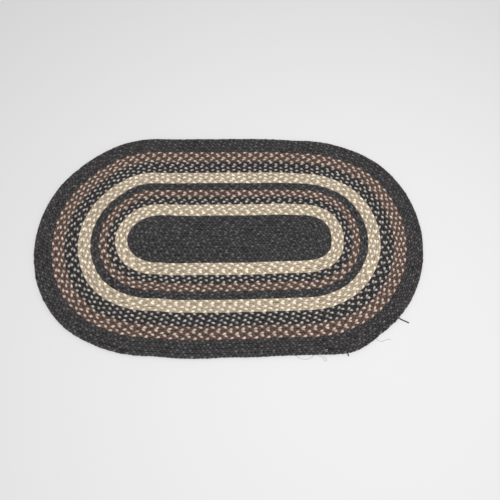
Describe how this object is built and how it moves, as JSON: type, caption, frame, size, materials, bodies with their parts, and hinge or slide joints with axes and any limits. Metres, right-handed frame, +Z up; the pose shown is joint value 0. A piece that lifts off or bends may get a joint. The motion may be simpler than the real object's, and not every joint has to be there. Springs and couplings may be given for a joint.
{
  "type": "braided rug",
  "caption": "Oval braided rug of flat three-strand braid laid round a straight middle row, with bands of charcoal, cream, black-and-white and brown; it lies flat on a floor.",
  "frame": {"origin": "middle of the rug's box, on the underside", "axes": "+X along the long side, +Y across the rug away from the viewer, +Z up from the floor"},
  "size_m": [1.1326, 0.6856, 0.0082],
  "materials": {
    "charcoal_braid": "matt jute yarn, two charcoal strands and one slightly lighter grey strand",
    "cream_braid": "matt natural jute yarn, two beige strands and one cream strand",
    "black_white_braid": "matt jute yarn, two near-black strands and one pale grey strand",
    "brown_braid": "matt jute yarn, two red-brown strands and one pinkish tan strand"
  },
  "bodies": {
    "root": {"middle_charcoal": "charcoal_braid", "inner_cream": "cream_braid", "inner_black_white": "black_white_braid", "inner_brown": "brown_braid", "ring_charcoal": "charcoal_braid", "outer_cream": "cream_braid", "outer_black_white": "black_white_braid", "outer_brown": "brown_braid", "edge_charcoal": "charcoal_braid"}
  },
  "joints": []
}
